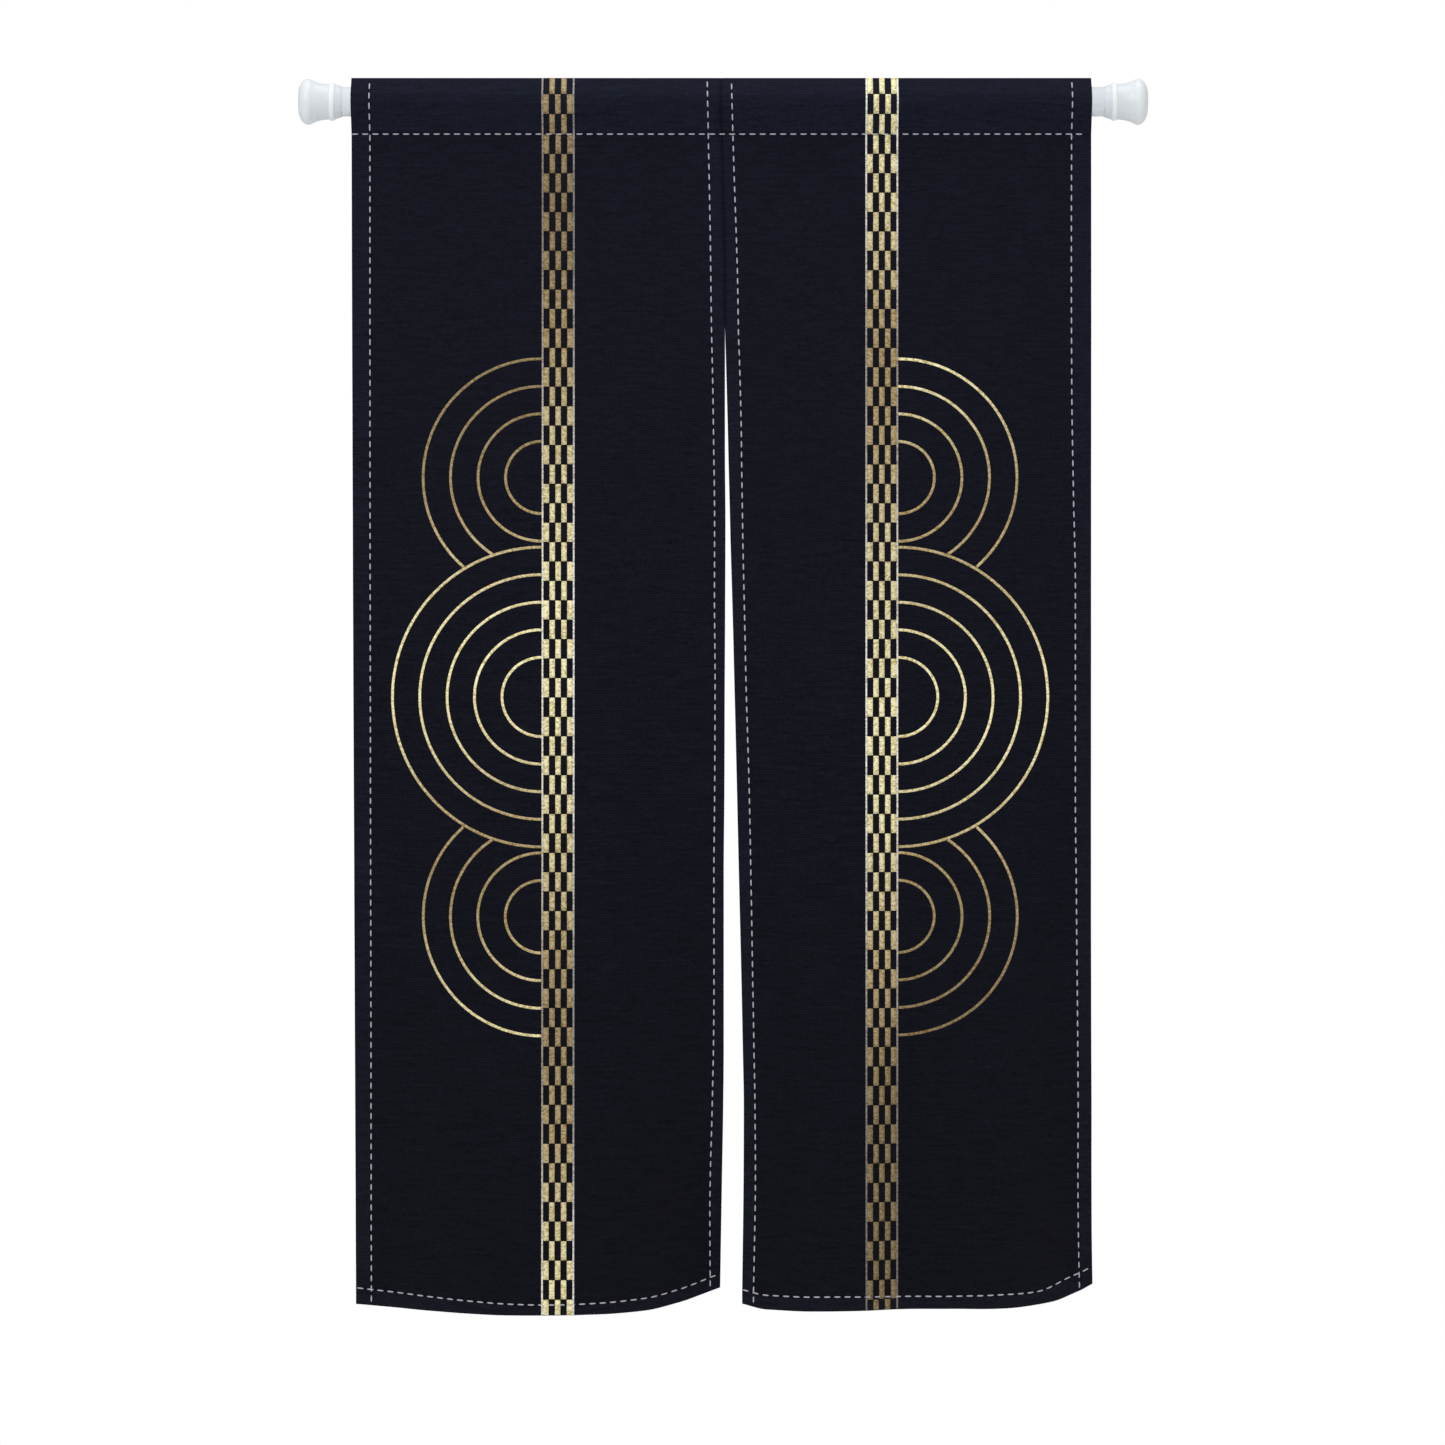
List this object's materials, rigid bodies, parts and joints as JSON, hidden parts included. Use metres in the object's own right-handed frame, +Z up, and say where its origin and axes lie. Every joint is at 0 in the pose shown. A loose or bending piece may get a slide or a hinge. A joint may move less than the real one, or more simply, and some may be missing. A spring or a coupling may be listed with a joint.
{
  "type": "noren curtain on a tension rod",
  "caption": "Split doorway curtain of hemmed dark cloth with gold check bands, hung by its rod pocket on a white tension rod with flared caps.",
  "frame": {"origin": "middle of the left cap's flat end face, on the rod's axis", "axes": "+X along the rod towards the right cap, +Y away from the viewer, +Z up"},
  "size_m": [0.986, 0.0898, 1.4363],
  "materials": {
    "cloth": "plain-weave polyester in blue-black, with a gold print",
    "rod_enamel": "satin white enamel",
    "cap_plastic": "satin white plastic"
  },
  "bodies": {
    "root": {"panel_left": "cloth", "panel_right": "cloth", "rod_tube": "rod_enamel", "rod_cap_left": "cap_plastic", "rod_cap_right": "cap_plastic"}
  },
  "joints": []
}
